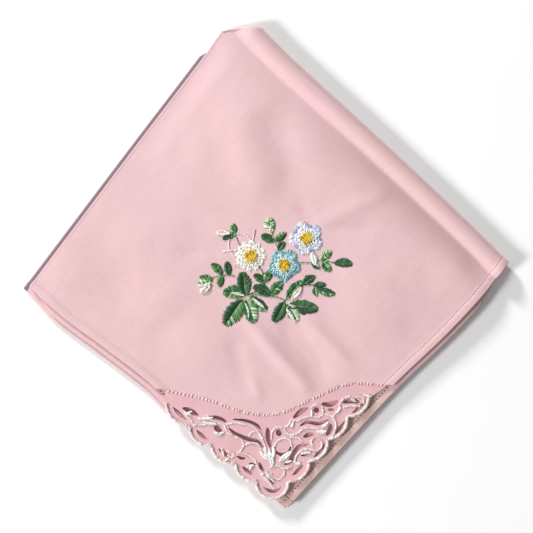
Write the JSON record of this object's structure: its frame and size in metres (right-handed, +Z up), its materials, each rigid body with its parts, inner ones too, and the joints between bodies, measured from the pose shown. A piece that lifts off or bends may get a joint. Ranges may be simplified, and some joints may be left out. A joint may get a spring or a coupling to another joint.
{
  "type": "folded linen handkerchief",
  "caption": "Square hemmed linen handkerchief folded in quarters, with an embroidered spray on top and a scalloped lace insert at one corner.",
  "frame": {"origin": "on the surface that the handkerchief lies on, under the middle of its box", "axes": "+Z up through the layers; the soft rolled fold runs along the +Y side, the flat fold along the -X side, and the open hems along -Y and +X, so the lace corner points to +X -Y"},
  "size_m": [0.1604, 0.153, 0.0073],
  "materials": {
    "linen": "fine plain weave, pale rose pink, matte with a faint sheen",
    "lace": "cutwork lace in pink and cream satin thread"
  },
  "bodies": {
    "root": {"handkerchief_cloth": "linen", "lace_corner": "lace"}
  },
  "joints": []
}
